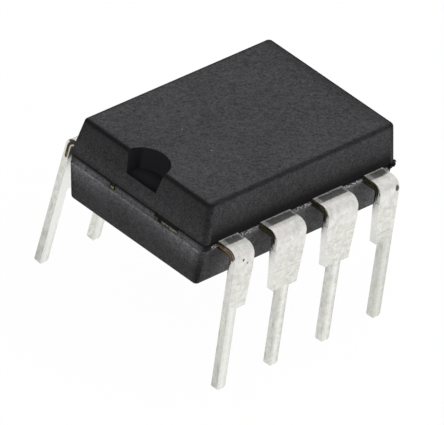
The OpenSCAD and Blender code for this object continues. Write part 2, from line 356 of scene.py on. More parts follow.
def make_floor():
    bpy.ops.mesh.primitive_plane_add(size=FLOOR_SIZE)
    floor = bpy.context.object
    floor.name = "floor"
    material, shader, _ = new_material("pale_floor")
    wire(shader, Base_Color=grey(0.9), Roughness=0.9, Specular_IOR_Level=0.0)
    tree = material.node_tree
    white = tree.nodes.new("ShaderNodeEmission")
    white.inputs["Color"].default_value = grey(1.0)
    direct, gloss = seen_directly(tree)
    mix_over(material, direct.most(gloss) * FLOOR_SHARE_OF_WHITE, white)
    dress(floor, material)
    floor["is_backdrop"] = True


def make_world():
    world = bpy.data.worlds.new("studio")
    world.use_nodes = True
    bpy.context.scene.world = world
    tree = world.node_tree
    background = tree.nodes["Background"]
    background.inputs["Color"].default_value = grey(1.0)
    direct, gloss = seen_directly(tree)
    level = (gloss * (SKY_IN_GLOSS - SKY_STRENGTH) + SKY_STRENGTH).most(direct)
    tree.links.new(level.socket, background.inputs["Strength"])


make_floor()
make_world()
bpy.context.scene.view_settings.view_transform = "Standard"
print("floor and world made; the sky's strength is", SKY_STRENGTH)

# %% [markdown]
# One broad lamp above and one on the side of the front leads light the part the
# way two soft boxes do. They are large for the part's size, so no edge of a
# shadow is sharp.

# %% Lamps


def soft_box(name, spot, size, watts):
    """A square lamp at a spot that faces the part."""
    bpy.ops.object.light_add(type="AREA", location=spot)
    lamp = bpy.context.object
    lamp.name = name
    lamp.data.shape = "SQUARE"
    lamp.data.size = size
    lamp.data.energy = watts
    lamp.visible_glossy = False
    aim = Vector((0, 0, FRAME_Z)) - Vector(spot)
    lamp.rotation_euler = aim.to_track_quat("-Z", "Y").to_euler()
    print(name, "stands", in_mm(aim.length)[0], "mm away")


soft_box("lamp_above", spot=(0.06, -0.05, 0.42), size=0.5, watts=1.6)
soft_box("lamp_front", spot=(0.14, -0.33, 0.16), size=0.3, watts=0.35)

# %% [markdown]
# Moulding compound is epoxy full of ground glass. The mould was spark-eroded, so
# the faces are matte and finely grained. The rounded edges, a strip just under the
# upper rim and the index notch get painted shade, which reads as dark lines and a
# dark hollow. Edges could be marked by hand, but here a mask works out how far a
# point is from the nearest edge, from the body's own drafted planes, so it stays
# right when a size changes.

# %% Masks of the painted shade on the housing's edges and notch
NOTCH_R = 0.85 * MM
NOTCH_DEPTH = 0.85 * MM
NOTCH_OFFSET = 0.02 * MM
NOTCH_W = 1.69 * MM
NOTCH_DRAFT = math.radians(10.3)
NOTCH_FLOOR_Z = TOP_Z - NOTCH_DEPTH
NOTCH_X = -BODY_L / 2 + (TOP_Z - RIM_Z) * math.tan(UPPER_DRAFT[0]) - NOTCH_OFFSET
LINE_CORE = 0.04 * MM


def painted_edge_shade(x, y, z):
    """Painted shade in dark lines along the housing's edges: strong across the ends, faint
    elsewhere.
    """
    above, below = z - RIM_Z, LEDGE_Z - z
    upper_end = BODY_L / 2 - above * math.tan(UPPER_DRAFT[0]) - abs(x)
    upper_side = BODY_W / 2 - above * math.tan(UPPER_DRAFT[1]) - abs(y)
    lower_end = BODY_L / 2 + END_LIP - below * math.tan(LOWER_DRAFT[0]) - abs(x)
    lower_side = BODY_W / 2 - SIDE_SETBACK - below * math.tan(LOWER_DRAFT[1]) - abs(y)
    is_upper = z.ramp(FRAME_Z - TINY, FRAME_Z + TINY)
    lines = upper_end.most(TOP_Z - z).ramp(0.19 * MM, LINE_CORE) * 0.8
    lines = lines.most(upper_side.most(TOP_Z - z).ramp(0.18 * MM, LINE_CORE) * 0.68)
    lines = lines.most(upper_end.most(upper_side).ramp(0.26 * MM, LINE_CORE) * 0.45)
    lower_lines = lower_end.most(lower_side).ramp(0.34 * MM, LINE_CORE) * 0.45
    return lines * is_upper + lower_lines * (1 - is_upper)


def notch_mask(x, y, z):
    """1 on the walls and the floor of the index notch."""
    square = (x - NOTCH_X) * (x - NOTCH_X) + y * y
    from_axis = square.math("SQRT", square)
    from_cheek = (z - TOP_Z) * math.tan(NOTCH_DRAFT) + NOTCH_W / 2 - abs(y)
    inside = (NOTCH_R - from_axis).least(from_cheek).least(z - NOTCH_FLOOR_Z)
    return (inside + 2 * TINY).ramp(0, TINY)


def painted_shade_places(x, y, z, on_end):
    """Where shade is painted: a shadow line under the rim, the gaps at the band's ends, the shade
    over the leads, and the edges.
    """
    above = z - RIM_Z
    # a painted shadow line just under the upper rim
    rim_shadow = (above + 0.1 * MM).ramp(0, 0.04 * MM) * above.ramp(0.03 * MM, 0)
    rim_shadow = rim_shadow * (0.93 - on_end * 0.23)
    # painted shade in the band's gaps near the corners of the long sides
    band = (z - LEDGE_Z).ramp(0.02 * MM, 0.05 * MM) * above.ramp(0, -TINY)
    in_reach = (abs(y) - BODY_W / 2).ramp(-0.2 * MM, -0.1 * MM)
    off_end = (abs(x) - BODY_L / 2).ramp(-0.45 * MM, -0.35 * MM)
    gap = in_reach * off_end * band * 0.85
    shade = above.ramp(0.55 * MM, 0.1 * MM) * above.ramp(-TINY, TINY) * (1 - on_end) * 0.6
    return painted_edge_shade(x, y, z).most(rim_shadow).most(shade).most(gap)


print("notch's centre, width and depth in mm:", in_mm(NOTCH_X, NOTCH_W, NOTCH_DEPTH))

# %% [markdown]
# Each wall has its own painted light and shade, because each leans another way to
# the light: a lit top, darker ends, a painted highlight along the ledge of the lower
# half, a painted shadow line under the upper rim and painted shade over the leads.
# A lamp for each wall could do that, but a tone that changes with the height is
# easier to match to a photograph. The grain multiplies it.

# %% Painted light and shade, and grain, of the epoxy
# the walls' tones are painted light and shade; the top gets darker towards the far end
TOP_TONE = 0.050
FAR_TOP_TONE = 0.024
END_LIGHT_AND_SHADE = [
    (-1.7, 0.043), (-1.1, 0.043), (-0.7, 0.052), (-0.35, 0.085), (-0.22, 0.11),
    (-0.2, 0.17), (-0.17, 0.17), (-0.15, 0.13), (-0.05, 0.12), (0.02, 0.06),
    (0.08, 0.02), (0.18, 0.034), (0.35, 0.047), (0.8, 0.036), (1.65, 0.029)]
SIDE_LIGHT_AND_SHADE = [
    (-1.7, 0.112), (-0.35, 0.112), (-0.25, 0.132), (-0.12, 0.19), (-0.04, 0.15),
    (0.03, 0.05), (0.1, 0.012), (0.3, 0.012), (0.45, 0.022), (0.6, 0.027),
    (0.8, 0.036), (1.1, 0.044), (1.65, 0.049)]
GRAIN_TURN = math.radians(-32)
GRAIN_STRETCH = 1.45
GRAIN_SHADES = (colour(0.36, 0.35, 0.36), colour(1.62, 1.62, 1.72))


def painted_light_by_height(z, stops):
    """Painted light and shade as a grey that changes with the height; stops are (mm above the
    leadframe, level).
    """
    low, high = stops[0][0], stops[-1][0]
    share = (z - FRAME_Z - low * MM) / ((high - low) * MM)
    places = [((height - low) / (high - low), grey(level)) for height, level in stops]
    return share.node("ShaderNodeValToRGB", {"stops": places}, Fac=share)


def toned(face, mask, factor):
    """A colour made lighter or darker by a factor, as far as a mask says."""
    return mask.between(face, face.stretched(factor, factor, factor))


def resin_grain(place):
    """Fine grain, coarse grain, and the light and dark that they give a tone."""
    # the grain runs a little longer along one direction of the faces
    turned = place.node(
        "ShaderNodeMapping", {"vector_type": "TEXTURE"},
        Vector=place, Rotation=(0, 0, GRAIN_TURN), Scale=(GRAIN_STRETCH, 1, 1))
    fine = turned.noise(18000, 2.0, 0.7)
    coarse = turned.noise(6500, 2.0, 0.6)
    cloud = place.noise(450, 2.0, 0.5)
    tone = (fine - 0.5) * 2.4 + (coarse - 0.5) * 0.9 + (cloud - 0.5) * 0.4 + 0.5
    return fine, coarse, tone.between(*GRAIN_SHADES)


def resin_colour(x, y, z, grains, on_end):
    """Each wall's painted light and shade, times the grain, with a painted sheen low on the ends and
    painted shade at the near corner.
    """
    on_top = (z - TOP_Z + 0.03 * MM).ramp(0, 0.03 * MM)
    wall = on_end.between(painted_light_by_height(z, SIDE_LIGHT_AND_SHADE), painted_light_by_height(z, END_LIGHT_AND_SHADE))
    far_end = x.ramp(3.7 * MM, 4.5 * MM) * 0.6
    top = far_end.between(grey(TOP_TONE), grey(FAR_TOP_TONE))
    face = grains.vector_math("MULTIPLY", on_top.between(wall, top))
    # a painted sheen on the lower half of the ends, towards their corners
    below_band = abs(z - FRAME_Z + 0.5 * MM).ramp(0.5 * MM, 0.2 * MM)
    painted_sheen = abs(y).ramp(0.7 * MM, 2.6 * MM) * on_end * below_band
    face = toned(face, painted_sheen * 0.5, 1.9)
    # painted shade on the lower side wall at the near corner
    lean = math.tan(LOWER_DRAFT[1])
    on_side = (abs(y) - BODY_W / 2 + (FRAME_Z - z) * lean + 0.2 * MM).ramp(0, 0.08 * MM)
    corner_shade = x.ramp(-3.4 * MM, -4.2 * MM) * on_side * (FRAME_Z - z).ramp(0, 0.2 * MM)
    return toned(face, corner_shade * 0.8, 0.45)


def pale_bits(place, z, on_end):
    """Specks of bare filler, and chips of flash along the parting line of the long sides."""
    specks = place.noise(9000, 0.0, 0.5).ramp(0.90, 0.93)
    chips = place.stretched(1, 1, 1.6).noise(7500, 3.0, 0.6).ramp(0.52, 0.62)
    at_parting = abs(z - FRAME_Z + 0.06 * MM).ramp(0.12 * MM, 0.08 * MM)
    return specks.most(at_parting * (1 - on_end) * chips * 0.6)


print("tones by height:", len(END_LIGHT_AND_SHADE), "on the ends and", len(SIDE_LIGHT_AND_SHADE), "on the sides")

# %% [markdown]
# The finish puts these together. One shader has the painted tones, the grain and its
# small bumps. The places of painted shade get a second, darker shader without gloss,
# mixed in by the mask, because a dark colour alone would still shine at a low angle.

# %% Epoxy finish
PALE = colour(0.36, 0.36, 0.35)
# painted shade for the housing's edges and, below, for the inside of the notch
EDGE_PAINTED_SHADE = colour(0.0095, 0.0093, 0.0105)
NOTCH_PAINTED_SHADE = colour(0.0165, 0.016, 0.018)


def epoxy_finish():
    material, shader, place = new_material("epoxy")
    x, y, z = place.parts()
    # how near a point is to the drafted plane of an end tells whether it is on it
    lean = math.tan(UPPER_DRAFT[0])
    on_end = (abs(x) - BODY_L / 2 + (z - RIM_Z).most(0) * lean + 0.3 * MM).ramp(0, 0.1 * MM)
    fine, coarse, grains = resin_grain(place)
    face = resin_colour(x, y, z, grains, on_end)
    wire(shader, Base_Color=pale_bits(place, z, on_end).between(face, PALE))
    wire(shader, Roughness=fine * 0.3 + 0.6, Specular_IOR_Level=0.15)
    relief(shader, fine * 0.7 + coarse * 0.3, 0.8, 0.04 * MM)
    # the notch, the edges and the other places of painted shade get the dark, glossless shader
    notch = notch_mask(x, y, z)
    painted_shade = painted_shade_places(x, y, z, on_end).most(notch)
    mix_dark(material, painted_shade, notch.between(EDGE_PAINTED_SHADE, NOTCH_PAINTED_SHADE))
    return material


EPOXY = epoxy_finish()
print("epoxy finish has", len(EPOXY.node_tree.nodes), "nodes")

# %% [markdown]
# The leads are copper alloy, plated with matte tin before the ties between them
# were cut away. So the faces are light grey, and only the cut sides near the body
# show the bare metal, up to a ragged, slanted line where the tin took hold. A
# pattern in the room's own directions would break at the bend. So each lead will
# carry three attributes: its place on the flat blank, a value that is 1 on its
# sides, and a vector with its neck's reach each way and its tarnish and painted shade.

# %% What a lead's finish knows of the lead
ROW_SHIFT = 7
LEAD_SHIFT = 9 * MM
WAVE = 0.16 * MM


def attribute(tree, name, output):
    made = tree.nodes.new("ShaderNodeAttribute")
    made.attribute_name = name
    return Sock(tree, made.outputs[output])


class LeadFace:
    """A point's place on the flat blank, which lead it is on, and the shared patterns."""

    def __init__(self, tree, place):
        blank = attribute(tree, "blank", "Vector")
        self.across, self.along, self.through = blank.parts()
        self.side = attribute(tree, "side", "Fac").ramp(0.6, 0.8)
        self.plus_reach, self.minus_reach, self.tarnish_and_shade = attribute(tree, "lead", "Vector").parts()
        self.is_bright = self.tarnish_and_shade.ramp(0.3, 0.2)
        # a high value marks cut sides that are tarnished and also carry painted shade
        self.is_aged_and_shaded = self.tarnish_and_shade.ramp(0.6, 1)
        self.is_outer = self.through.ramp(0, 0.1 * MM)

        x, y, _ = place.parts()
        in_pitches = x / PITCH
        self.column = in_pitches.math("FLOOR", in_pitches)
        self.is_front = y.ramp(MM, -MM)
        # the same blank gets another piece of each pattern on every lead
        offset = (self.column + self.is_front * ROW_SHIFT) * LEAD_SHIFT
        shift = offset.node("ShaderNodeCombineXYZ", Y=offset)
        self.blank = blank.vector_math("ADD", shift)

        self.mottle = place.noise(5000, 3.0, 0.6)
        self.fine = place.noise(19000, 2.0, 0.6)
        self.wave = (place.noise(11000, 2.0, 0.6) - 0.5) * WAVE
        self.lengthwise = self.blank.stretched(2.2, 0.25, 1).noise(7000, 3.0, 0.6)

    def on_front(self, number):
        """1 on one lead of the front row, whose columns count from -2."""
        return abs(self.column - number + 3).ramp(0.5, 0.4) * self.is_front


print("patterns move on by", in_mm(LEAD_SHIFT)[0], "mm from lead to lead")

# %% [markdown]
# The bare copper has one of three looks. A fresh cut is brown with a dull outline,
# an aged one, which also carries painted shade from the dark body beside it, is
# nearly black with olive strokes, and the brightest one keeps tin smeared along
# its outer border, round a dark core.

# %% Bare copper of the cut sides
COPPER_L = 0.93 * MM
BRIGHT_COPPER_L = 1.2 * MM
TAIL_L = 0.36 * MM
FRESH_SHADES = (colour(0.06, 0.036, 0.02), colour(0.36, 0.22, 0.12))
FRESH_LOW = colour(0.06, 0.05, 0.03)
FRESH_FRINGE = colour(0.34, 0.29, 0.23)
BRIGHT_SHADES = (colour(0.50, 0.45, 0.38), colour(0.80, 0.76, 0.72))
# nearly black copper: tarnish, with painted shade and the painted dark reflection of the body
AGED_AND_SHADED_COPPER = (colour(0.012, 0.011, 0.010), colour(0.05, 0.048, 0.035))
CORE_BROWN = colour(0.032, 0.021, 0.014)
OLIVE = colour(0.13, 0.12, 0.05)
WORN_OLIVE = colour(0.24, 0.23, 0.17)


def copper_reach(lead):
    """How far the bare copper goes along the blank, at each height of the cut side."""
    strokes = lead.blank.stretched(1, 0.2, 1).noise(24000, 2.0, 0.6) - 0.5
    tail = lead.through.ramp(-0.06 * MM, -0.125 * MM) * (1 - lead.is_aged_and_shaded) * TAIL_L
    ragged = strokes * (lead.is_aged_and_shaded * 0.6 + 0.5) * MM
    slant = lead.through * (lead.is_aged_and_shaded * 1.9 + 1)
    slanted = lead.is_aged_and_shaded * 0.06 * MM + COPPER_L - slant + tail + ragged
    bright = strokes * 0.3 * MM + BRIGHT_COPPER_L
    return slanted * (1 - lead.is_bright) + bright * lead.is_bright


def dark_core(lead):
    """The bare middle of the brightest lead's cut side."""
    core = abs(lead.through + lead.wave * 0.2).ramp(0.065 * MM, 0.04 * MM)
    core = core.most(lead.along.ramp(0.62 * MM, 0.5 * MM) * lead.through.ramp(0, 0.03 * MM))
    core = core.most(lead.through.ramp(-0.1 * MM, -0.12 * MM)) * lead.is_bright
    lip = lead.through.ramp(0.05 * MM, 0.08 * MM) * lead.along.ramp(0.55 * MM, 0.65 * MM)
    return core * (1 - lip)


def bare_copper(lead):
    """The mask of the bare copper, and its colour."""
    reach = copper_reach(lead)
    mask = lead.side * (reach - lead.along).ramp(0, 0.03 * MM)
    fringe = (lead.along - reach + 0.3 * MM).ramp(0, 0.12 * MM)
    outline = abs(lead.through) + lead.wave * 0.4 - lead.tarnish_and_shade * 0.02 * MM
    outline = outline.ramp(0.05 * MM, 0.09 * MM).least(1 - lead.is_bright)
    lines = lead.blank.stretched(0.4, 0.25, 2.0).noise(9000, 2.0, 0.6)
    olive = (fringe * (1 - lead.is_outer)).most(lead.is_aged_and_shaded * 0.5) * lines.ramp(0.42, 0.56)
    worn = (lead.along - reach + 0.12 * MM).ramp(0, 0.1 * MM) * lead.is_aged_and_shaded
    fresh = layered(lines.ramp(0.44, 0.6).between(*FRESH_SHADES), [
        (lead.through.ramp(0, -0.08 * MM) * 0.8, FRESH_LOW),
        (fringe * lead.is_outer, FRESH_FRINGE)])
    metal = layered(fresh, [
        (lead.is_bright, lead.through.ramp(0.04 * MM, 0.07 * MM).between(*BRIGHT_SHADES)),
        (outline.most(dark_core(lead)), CORE_BROWN),
        (lead.is_aged_and_shaded, lead.mottle.ramp(0.45, 0.7).between(*AGED_AND_SHADED_COPPER)),
        (olive, OLIVE),
        (worn * 0.7, WORN_OLIVE)])
    return mask, metal


print("bare copper reaches", in_mm(COPPER_L, BRIGHT_COPPER_L), "mm from the body's side")

# %% [markdown]
# Matte tin picks up a history: rosy and mossy patches where it aged, stains across
# the shoulders, scuffs along the pins, and a few marks that one lead alone has.
# Painted light and shade lie among them, on the cut sides, the pins and the face
# that looks at the body. A painted picture could hold them. As layers of colour,
# each with its own mask, they stay sharp at any size and can be changed one at a time.

# %% Stains and scuffs of the tin, and its painted light and shade
TIN_SHADES = (colour(0.71, 0.71, 0.67), colour(0.93, 0.92, 0.89))
PIN_START = 2.75 * MM
PIT_TONE = colour(0.08, 0.08, 0.07)
PITS = [(1, (-0.21, 0.90), 0.07), (1, (-0.43, 1.08), 0.045), (4, (-0.10, 0.83), 0.11)]
SCRATCH = ((0.64, 2.45), (-0.09, 2.36), 0.035)
FIRST, LAST = 1, 4


def plating_layers(lead):
    """Tints of the flat top and the shoulders."""
    beyond = (lead.along - 1.1 * MM).ramp(0, 0.5 * MM)
    patches = lead.blank.noise(1700, 2.0, 0.5)
    rosy = patches.ramp(0.42, 0.58) * (lead.along - 0.35 * MM).ramp(0, 0.2 * MM)
    rosy = rosy * lead.along.ramp(1.3 * MM, 0.9 * MM)
    mossy = patches.ramp(0.46, 0.62) * beyond
    stain = lead.blank.stretched(0.3, 1.5, 1).noise(9000, 3.0, 0.65).ramp(0.53, 0.66) * beyond
    wear = lead.lengthwise.ramp(0.52, 0.72) * (lead.along - 2.4 * MM).ramp(0, 0.6 * MM)
    return [
        (lead.fine.ramp(0.4, 0.75) * 0.3, colour(0.56, 0.56, 0.50)),
        (rosy * 0.5, colour(0.90, 0.84, 0.83)),
        (mossy * 0.3, colour(0.84, 0.84, 0.72)),
        (stain.most(wear) * 0.5, colour(0.50, 0.51, 0.42))]


def side_and_pin_layers(lead):
    """Tints of the cut sides, the pins and the face that looks at the body: painted shade on the
    sides and along the pins' edges, a painted highlight down the pins' middle, and painted light and
    shade on the face that looks at the body.
    """
    far_across = abs(lead.across)
    is_wide = far_across.ramp(0.22 * MM, 0.26 * MM)
    is_seen = lead.is_front.most(lead.is_bright)
    on_pin = (lead.along - PIN_START).ramp(0, 0.06 * MM)
    pin_face = on_pin * (1 - lead.side)
    is_inner = lead.through.ramp(-0.10 * MM, -0.13 * MM) * (1 - lead.side)
    is_low = (lead.along - 3 * MM).ramp(0, 3 * MM)
    is_lit = (lead.along - 1.0 * MM).ramp(0, 0.3 * MM)
    # the sides of these pins get darker, in mottled patches, towards the tip
    pins_darker_to_tip = lead.is_bright.most(lead.on_front(FIRST) * 0.7)
    darker_to_tip = lead.mottle.ramp(0.35, 0.6) * lead.side * pins_darker_to_tip
    darker_to_tip = darker_to_tip * (lead.along - 3 * MM).ramp(0, 2.8 * MM)
    return [
        # painted shade on the cut sides of the leads that are seen
        (lead.side * (1 - is_wide) * is_seen * 0.3, colour(0.56, 0.57, 0.53)),
        (lead.side * is_wide * 0.6, colour(0.95, 0.95, 0.92)),
        # painted shade along the pins' edges and a painted highlight down their middle
        (pin_face * far_across.ramp(0.11 * MM, 0.18 * MM) * 0.4, colour(0.52, 0.53, 0.49)),
        (pin_face * far_across.ramp(0.09 * MM, 0.03 * MM) * 0.5, colour(0.97, 0.97, 0.94)),
        (on_pin * lead.side * lead.lengthwise.ramp(0.5, 0.68) * 0.4, colour(0.36, 0.37, 0.33)),
        # painted light on the face that looks at the body, and painted shade on it near the body
        (is_inner * (1 - is_low * 0.6), colour(1.0, 1.0, 0.97)),
        (is_inner * (1 - is_lit), colour(0.10, 0.09, 0.085)),
        (darker_to_tip * 0.6, colour(0.34, 0.35, 0.31))]


def pit(lead, number, centre, size):
    """A round pit on one front lead; its place on the blank and its size are in mm."""
    dx, dy = lead.across - centre[0] * MM, lead.along - centre[1] * MM
    square = dx * dx + dy * dy
    return square.math("SQRT", square).ramp(size * MM, size * 0.5 * MM) * lead.on_front(number)


def scratch(lead, start, end, width):
    """A straight scratch between two places on the blank, in mm."""
    length = math.dist(start, end)
    ux, uy = (end[0] - start[0]) / length, (end[1] - start[1]) / length
    dx, dy = lead.across - start[0] * MM, lead.along + lead.wave - start[1] * MM
    beside = abs(dx * uy - dy * ux).ramp(width * MM, width * 0.4 * MM)
    run = dx * ux + dy * uy
    return beside * run.ramp(0, 0.05 * MM) * run.ramp(length * MM, (length - 0.05) * MM)


def single_marks(lead):
    """What one lead alone has: pits, a broken scratch, and a duller and a cleaner pin."""
    scored = scratch(lead, *SCRATCH) * lead.on_front(LAST) * (1 - lead.side)
    towards_tip = (lead.along - 2 * MM).ramp(0, MM)
    return [
        *[(pit(lead, *mark), PIT_TONE) for mark in PITS],
        (scored * lead.fine.ramp(0.35, 0.6) * 0.35, PIT_TONE),
        (lead.on_front(LAST) * towards_tip * 0.4, colour(0.60, 0.61, 0.55)),
        (lead.on_front(FIRST) * (1 - lead.side) * towards_tip * 0.4, colour(0.97, 0.97, 0.93))]


print("the tin has", len(PITS), "pits and a scratch")

# %% [markdown]
# The die pressed each lead's flat top smooth, so it mirrors the body, up to duller
# margins and a lip at the bend. The finish lays the tin's colours, lets the copper
# through on the cut sides, and makes both as rough and as metallic as they look.

# %% Finish of the leads
DULL_STRIP = 0.07 * MM
FLAT_TOP = 0.43 * MM
STRIP_GREY = colour(0.44, 0.42, 0.40)


def tin_finish():
    material, shader, place = new_material("tinned_lead")
    lead = LeadFace(material.node_tree, place)
    along, wave = lead.along, lead.wave
    dull_strip = (DULL_STRIP + wave - along).ramp(0, 0.04 * MM) * lead.is_outer
    flat_top = (FLAT_TOP + wave - along).ramp(0, 0.12 * MM) * lead.is_outer
    margin = (lead.plus_reach - lead.across + wave).ramp(0.26 * MM, 0.14 * MM)
    margin = margin.most((lead.minus_reach + lead.across + wave).ramp(0.13 * MM, 0.05 * MM))
    margin = margin * flat_top
    lip = (along + wave - 0.33 * MM).ramp(0, 0.06 * MM) * (0.62 * MM - along).ramp(0, 0.15 * MM)
    lip = lip * lead.is_outer

    tin = layered(lead.mottle.ramp(0.3, 0.7).between(*TIN_SHADES), [
        *plating_layers(lead), *side_and_pin_layers(lead), *single_marks(lead),
        (dull_strip, STRIP_GREY)])
    copper, metal = bare_copper(lead)
    wire(shader, Base_Color=copper.between(tin, metal))
    rough = 0.40 - flat_top * 0.24 + (lead.fine - 0.5) * 0.15 + dull_strip * 0.35 + margin * 0.1
    wire(shader, Roughness=rough - copper * 0.15)
    metallic = 0.85 + flat_top * 0.08 - dull_strip * 0.4 - margin * 0.16 - lip * 0.45
    wire(shader, Metallic=metallic - copper * lead.tarnish_and_shade * 0.6)
    relief(shader, lead.mottle * 0.7 + lead.fine * 0.3, 0.3, 0.02 * MM)
    return material


TIN = tin_finish()
print("tin finish has", len(TIN.node_tree.nodes), "nodes")

# %% [markdown]
# The modelling that follows is done as by hand: a primitive, then extrusions,
# resizes, bevels and cuts. Operators act on whatever is selected, so a few small
# helpers pick faces, edges and corners by their place. Lists of corners would make
# the same shapes, but they would hide how each one comes about.

# %% Helpers for edit mode
MERGE_GAP = 1e-8
FACING = 0.9


def edit(piece):
    bpy.ops.object.select_all(action="DESELECT")
    bpy.context.view_layer.objects.active = piece
    piece.select_set(True)
    bpy.ops.object.mode_set(mode="EDIT")


def leave_edit():
    bpy.ops.object.mode_set(mode="OBJECT")


def pick(piece, kind, test):
    """Selects the faces, edges or verts of a piece in edit mode for which test is true."""
    mesh = bmesh.from_edit_mesh(piece.data)
    bpy.ops.mesh.select_mode(type={"faces": "FACE", "edges": "EDGE", "verts": "VERT"}[kind])
    bpy.ops.mesh.select_all(action="DESELECT")
    count = 0
    for item in getattr(mesh, kind):
        if test(item):
            item.select_set(True)
            count += 1
    mesh.select_flush_mode()
    bmesh.update_edit_mesh(piece.data)
    return count


def push(x=0.0, y=0.0, z=0.0):
    """Extrudes what is selected by that much."""
    bpy.ops.mesh.extrude_region_move(TRANSFORM_OT_translate={"value": (x, y, z)})


def resize(x=1.0, y=1.0, z=1.0, about=(0, 0, 0)):
    bpy.ops.transform.resize(value=(x, y, z), center_override=about)


def face_outwards():
    """Turns every face of the piece in edit mode outwards."""
    bpy.ops.mesh.select_all(action="SELECT")
    bpy.ops.mesh.normals_make_consistent(inside=False)


def new_box(name, low, high):
    """A block between two corners, with its place in its mesh."""
    low, high = Vector(low), Vector(high)
    bpy.ops.mesh.primitive_cube_add(size=1, location=(low + high) / 2, scale=high - low)
    piece = bpy.context.object
    piece.name = name
    bpy.ops.object.transform_apply()
    return piece


def new_cylinder(radius, depth, spot, corners):
    """An upright cylinder with its place in its mesh."""
    bpy.ops.mesh.primitive_cylinder_add(
        vertices=corners, radius=radius, depth=depth, location=spot)
    bpy.ops.object.transform_apply()
    return bpy.context.object


def centre_of(face):
    return face.calc_center_median()


def apply(piece, kind, **settings):
    """Adds a modifier with these settings and applies it."""
    bpy.context.view_layer.objects.active = piece
    modifier = piece.modifiers.new(kind.lower(), kind)
    for name, value in settings.items():
        setattr(modifier, name, value)
    bpy.ops.object.modifier_apply(modifier=modifier.name)


def smooth(piece, degrees=35):
    bpy.ops.object.select_all(action="DESELECT")
    bpy.context.view_layer.objects.active = piece
    piece.select_set(True)
    bpy.ops.object.shade_smooth_by_angle(angle=math.radians(degrees))


def solid_copy(node_name):
    """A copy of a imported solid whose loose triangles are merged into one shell."""
    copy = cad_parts[node_name].copy()
    copy.data = copy.data.copy()
    copy.parent = None
    bpy.context.scene.collection.objects.link(copy)
    edit(copy)
    bpy.ops.mesh.select_all(action="SELECT")
    bpy.ops.mesh.remove_doubles(threshold=MERGE_GAP)
    leave_edit()
    return copy


def cut(piece, tool):
    """Cuts a tool's shape out of a piece and throws the tool away."""
    apply(piece, "BOOLEAN", operation="DIFFERENCE", solver="EXACT", object=tool)
    bpy.data.objects.remove(tool)


print("helpers ready; a normal's share of", FACING, "counts as facing an axis")

# %% [markdown]
# The housing is one moulding with two drafted halves. A plate with rounded
# corners is extruded upwards from level to level: to the wide rim of the lower
# half, in to the band that holds the leadframe, out under the rim of the upper half
# and in again to the top. The draft is real: it lets the part out of its mould.
# Two scaled blocks would do from afar, but their rims wouldn't meet at the band.

# %% Mould the housing
STEP = 0.01 * MM
TOP_EDGE_R = 0.12 * MM
BOTTOM_EDGE_R = 0.82 * EDGE_R
CORNER_SEGMENTS = 7
ROUND_SEGMENTS = 6
LEVEL_FACE = 0.99


def is_level(face, z):
    """Whether a face lies flat at a height."""
    return abs(face.normal.z) > LEVEL_FACE and abs(centre_of(face).z - z) < TINY


def drafted(length, width, drafts, height):
    """The size of a face that lies that high above its rim."""
    return length - 2 * height * math.tan(drafts[0]), width - 2 * height * math.tan(drafts[1])


def mould_housing():
    lower_rim = (BODY_L + 2 * END_LIP, BODY_W - 2 * SIDE_SETBACK)
    band = (BODY_L - 2 * BAND_SETBACK, BODY_W - 2 * BAND_SETBACK)
    bottom = drafted(*lower_rim, LOWER_DRAFT, LOWER_H)
    top = drafted(BODY_L, BODY_W, UPPER_DRAFT, TOP_Z - RIM_Z)
    upper_rim = (BODY_L, BODY_W)
    levels = [
        (LEDGE_Z - STEP, lower_rim), (LEDGE_Z, lower_rim), (LEDGE_Z + STEP, band), (RIM_Z, band),
        (RIM_Z + STEP / 2, upper_rim), (RIM_Z + STEP, upper_rim), (TOP_Z, top)]

    bpy.ops.mesh.primitive_plane_add(size=1, location=(0, 0, BOTTOM_Z))
    housing = bpy.context.object
    housing.name = "housing"
    bpy.ops.object.transform_apply()
    edit(housing)
    bpy.ops.mesh.select_all(action="SELECT")
    resize(*bottom, 1)
    bpy.ops.mesh.bevel(offset=EDGE_R, segments=CORNER_SEGMENTS, affect="VERTICES")
    z, size = BOTTOM_Z, bottom
    for next_z, next_size in levels:
        push(z=next_z - z)
        resize(next_size[0] / size[0], next_size[1] / size[1], 1)
        z, size = next_z, next_size
    for level, radius in ((BOTTOM_Z, BOTTOM_EDGE_R), (TOP_Z, TOP_EDGE_R)):
        pick(housing, "faces", lambda face: is_level(face, level))
        bpy.ops.mesh.bevel(
            offset=radius, segments=ROUND_SEGMENTS, profile=0.5, affect="EDGES", clamp_overlap=False)
    bpy.ops.mesh.select_all(action="SELECT")
    bpy.ops.mesh.remove_doubles(threshold=MERGE_GAP)
    face_outwards()
    leave_edit()
    return housing


housing = mould_housing()
print("housing has", len(housing.data.polygons), "faces")

# %% [markdown]
# The index notch tells which end has lead 1. Its cutter is the part that a
# cylinder and a wedge have in common: the cylinder gives the half-round back and
# the wedge gives the two cheeks, which lean outwards like every moulded wall. The
# cylinder alone would be simpler, but its cheeks would stand upright.

# %% Cut the index notch
NOTCH_CORNERS = 96


def cut_notch(piece):
    cutter = new_cylinder(NOTCH_R, 2 * NOTCH_DEPTH, (NOTCH_X, 0, TOP_Z), NOTCH_CORNERS)
    half = NOTCH_W / 2
    lean = NOTCH_DEPTH * math.tan(NOTCH_DRAFT)
    over = TOP_Z + NOTCH_DEPTH
    low = (NOTCH_X - 2 * NOTCH_R, -half, NOTCH_FLOOR_Z)
    wedge = new_box("wedge", low, (NOTCH_X + 2 * NOTCH_R, half, over))
    edit(wedge)
    for level, width in ((NOTCH_FLOOR_Z, half - lean), (over, half + lean)):
        pick(wedge, "verts", lambda v: abs(v.co.z - level) < TINY)
        resize(1, width / half, 1)
    leave_edit()
    apply(cutter, "BOOLEAN", operation="INTERSECT", solver="EXACT", object=wedge)
    bpy.data.objects.remove(wedge)
    cut(piece, cutter)


cut_notch(housing)
print("notch cut; housing has", len(housing.data.polygons), "faces")

